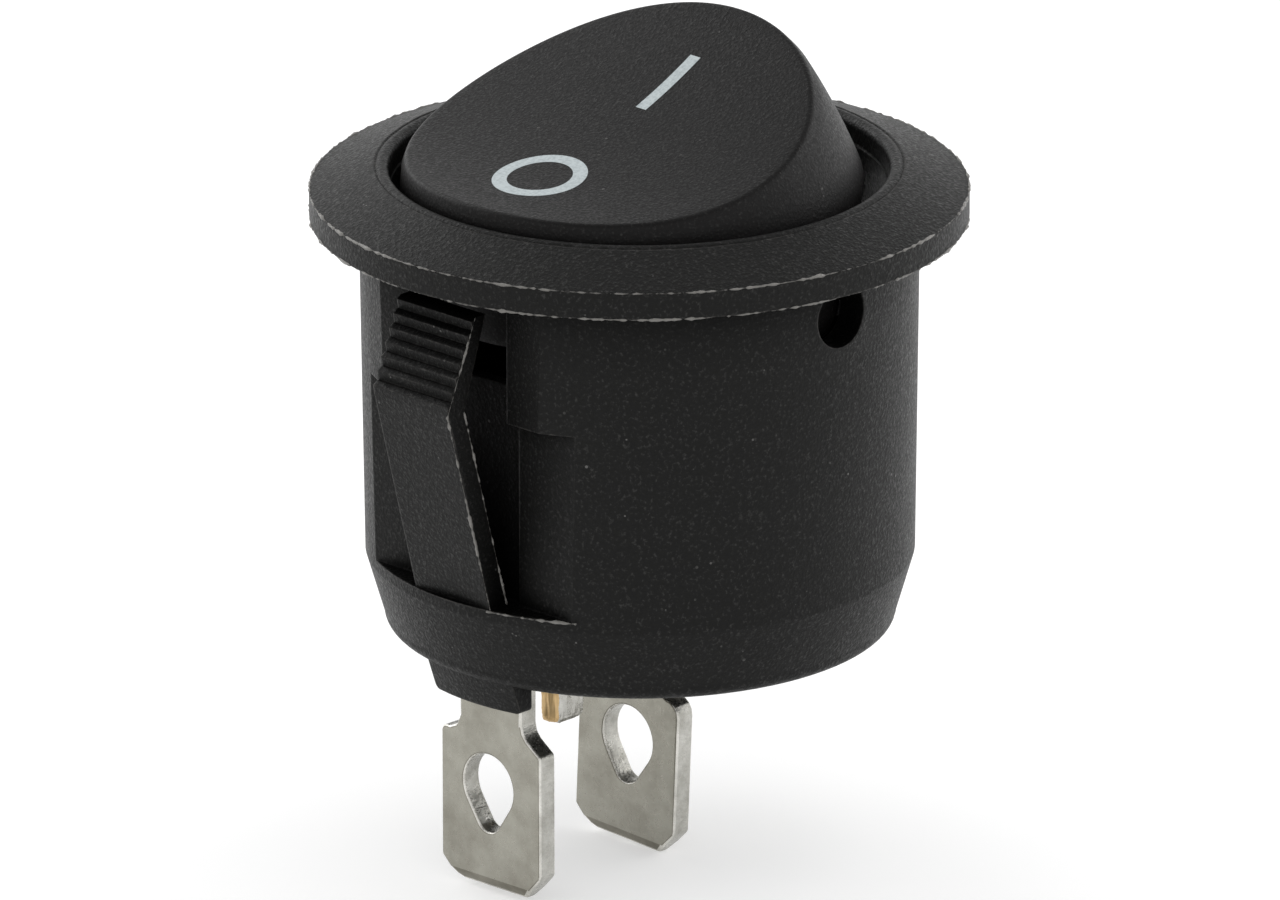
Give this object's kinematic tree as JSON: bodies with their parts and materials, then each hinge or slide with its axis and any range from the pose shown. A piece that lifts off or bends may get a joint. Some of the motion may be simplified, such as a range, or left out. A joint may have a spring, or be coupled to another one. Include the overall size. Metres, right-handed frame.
{
  "type": "round rocker switch",
  "caption": "Round snap-in panel rocker switch, single pole on-off, with a dished rocker, barbed snap wings and tab terminals below the body.",
  "frame": {"origin": "centre of the bezel's underside, in the plane that rests on the panel face", "axes": "+Z out of the panel towards the rocker, +X towards the I end of the rocker, Y along the rocker's pivot"},
  "size_m": [0.023, 0.023, 0.0298],
  "materials": {
    "housing_plastic": "fine moulded grain",
    "rocker_plastic": "fine moulded grain",
    "plunger_plastic": "natural acetal",
    "spring_steel": "drawn wire",
    "contact_brass": "rolled",
    "contact_silver": "silver alloy",
    "tinned_brass": "matt tin plate"
  },
  "bodies": {
    "body": {"housing": "housing_plastic", "common_terminal": "tinned_brass", "fixed_terminal": "tinned_brass", "fixed_contact": "contact_silver"},
    "rocker": {"rocker": "rocker_plastic", "plunger_spring": "spring_steel"},
    "plunger": {"plunger": "plunger_plastic"},
    "seesaw": {"seesaw": "contact_brass", "moving_contact": "contact_silver"}
  },
  "joints": [
    {"name": "rocker_tilt", "type": "hinge", "parent": "body", "child": "rocker", "pos_m": [0, 0, -0.0015], "axis": [0, 1, 0], "range_deg": [0, 33]},
    {"name": "seesaw_tilt", "type": "hinge", "parent": "body", "child": "seesaw", "pos_m": [-0.00015, 0, -0.0099], "axis": [0, 1, 0], "range_deg": [-11, 0]},
    {"name": "plunger_slide", "type": "slide", "parent": "rocker", "child": "plunger", "axis": [0.284, 0, -0.9588], "range_m": [-0.0012, 0], "stiffness_N_per_m": 300, "springref_m": 0.002, "deforming": ["plunger_spring"]}
  ],
  "couplings": [
    {"joint": "seesaw_tilt", "follows": "rocker_tilt", "ratio": -0.33333}
  ]
}
